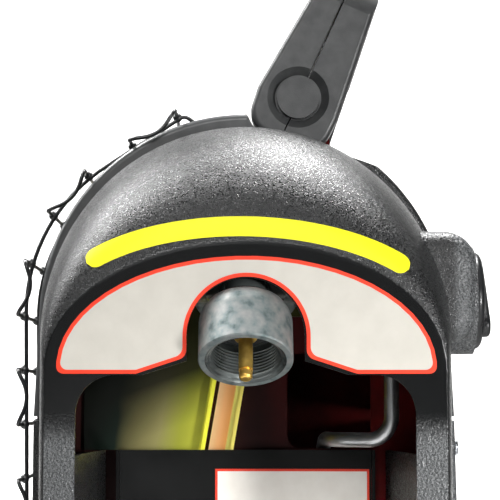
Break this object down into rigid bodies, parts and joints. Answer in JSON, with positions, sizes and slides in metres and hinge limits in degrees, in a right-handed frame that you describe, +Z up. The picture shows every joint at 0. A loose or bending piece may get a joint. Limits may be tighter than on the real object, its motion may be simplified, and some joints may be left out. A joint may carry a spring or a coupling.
{
  "type": "portable propane heater",
  "caption": "Portable radiant propane heater: black plastic shell, wire guard, folding handle, push-and-turn knob and a swinging inlet for a disposable gas cylinder.",
  "frame": {"origin": "on the floor, at the middle of the overall footprint", "axes": "+Z up, -Y is the front with the wire guard, +X is the side that takes the gas cylinder"},
  "size_m": [0.3456, 0.196, 0.3734],
  "materials": {
    "black_plastic": "fine spark texture, low sheen",
    "rubber": "matte",
    "painted_steel": "dark red satin paint",
    "bright_steel": "bright sheet steel",
    "zinc_plated_steel": "yellow passivated zinc plate",
    "black_wire": "black baked enamel",
    "cast_zinc": "bare die casting",
    "brass": "machined",
    "aluminium": "drawn, bare",
    "ceramic": "matte, unglazed ceramic",
    "grey_plastic": "moulded, matte"
  },
  "bodies": {
    "housing": {"base_tray": "black_plastic", "rubber_feet": "rubber", "tank_side_cap": "black_plastic", "plain_side_cap": "black_plastic", "front_hood": "black_plastic", "front_panel": "black_plastic", "rear_cover": "black_plastic", "rear_panel": "black_plastic", "top_cover": "painted_steel", "chassis": "painted_steel", "recess_panel": "black_plastic", "reflector": "bright_steel", "burner_plenum": "aluminium", "ceramic_tile": "ceramic", "tile_frame": "bright_steel", "venturi_tube": "aluminium", "injector": "brass", "pilot_bracket": "bright_steel", "pilot_burner": "brass", "thermocouple": "brass", "spark_electrode": "ceramic", "pilot_tube": "aluminium", "tip_over_switch": "grey_plastic", "control_valve": "brass", "piezo_igniter": "grey_plastic", "gas_feed_tube": "aluminium", "burner_supply_tube": "aluminium", "regulator_bracket": "zinc_plated_steel", "bracket_strap": "zinc_plated_steel", "swing_pivot_pin": "bright_steel", "guard_loops": "black_wire", "guard_uprights": "black_wire", "handle_pivot_bolts": "bright_steel"},
    "handle": {"handle_front_half": "black_plastic", "handle_rear_half": "black_plastic", "handle_pivot_caps": "black_plastic", "handle_screws": "bright_steel"},
    "regulator": {"regulator_body": "cast_zinc", "regulator_bonnet": "cast_zinc", "inlet_collar": "cast_zinc", "inlet_probe": "brass", "inlet_seat": "brass", "inlet_seal": "rubber"},
    "valve_slide": {"valve_cup": "brass"},
    "knob": {"valve_stem": "brass", "control_knob": "black_plastic"}
  },
  "joints": [
    {"name": "handle_fold", "type": "hinge", "parent": "housing", "child": "handle", "pos_m": [0, 0.0203, 0.3207], "axis": [1, 0, 0], "range_deg": [-75, 24.3]},
    {"name": "inlet_swing", "type": "hinge", "parent": "housing", "child": "regulator", "pos_m": [0.138, 0, 0.2536], "axis": [0, 1, 0], "range_deg": [0, 40.4]},
    {"name": "knob_push", "type": "slide", "parent": "housing", "child": "valve_slide", "axis": [0, 1, 0], "range_m": [-0.0035, 0], "stiffness_N_per_m": 800, "springref_m": 0.004},
    {"name": "knob_turn", "type": "hinge", "parent": "valve_slide", "child": "knob", "pos_m": [0.114, 0.08, 0.2406], "axis": [0, 1, 0], "range_deg": [0, 180]}
  ]
}
